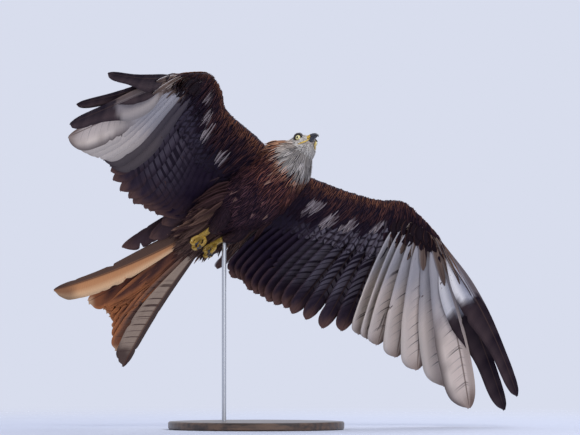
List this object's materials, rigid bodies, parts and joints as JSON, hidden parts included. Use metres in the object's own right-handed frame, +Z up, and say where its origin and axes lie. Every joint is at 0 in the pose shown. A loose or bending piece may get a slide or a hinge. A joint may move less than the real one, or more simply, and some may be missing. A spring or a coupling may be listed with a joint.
{
  "type": "red kite in flight on a display stand",
  "caption": "Life-size still model of a red kite in flapping flight, wings drooped at the hand and forked tail fanned and twisted, held by a rod on a round base",
  "frame": {"origin": "Centre of the underside of the stand's base", "axes": "+X to the bird's left wing tip side as the picture shows it, the picture's right; +Y away from the viewer; +Z up from the base"},
  "size_m": [0.959, 0.9072, 0.7265],
  "materials": {
    "plumage_body": "matte",
    "plumage_head": "matte",
    "plumage_wing": "matte",
    "plumage_tail": "matte",
    "yellow_skin": "satin",
    "horn": "satin",
    "eye": "gloss",
    "stand_wood": "satin",
    "stand_steel": "satin"
  },
  "bodies": {
    "root": {"head": "plumage_head", "cere": "yellow_skin", "bill_upper": "horn", "bill_lower": "horn", "eye_left": "eye", "eye_right": "eye", "neck": "plumage_head", "torso": "plumage_body", "tail": "plumage_tail", "wing_left_arm": "plumage_wing", "wing_left_hand": "plumage_wing", "wing_right_arm": "plumage_wing", "wing_right_hand": "plumage_wing", "thigh_left": "plumage_body", "thigh_right": "plumage_body", "foot_left": "yellow_skin", "foot_right": "yellow_skin", "claw_left_1": "horn", "claw_left_2": "horn", "claw_left_3": "horn", "claw_left_4": "horn", "claw_right_1": "horn", "claw_right_2": "horn", "claw_right_3": "horn", "claw_right_4": "horn", "stand_base": "stand_wood", "stand_rod": "stand_steel"}
  },
  "joints": []
}
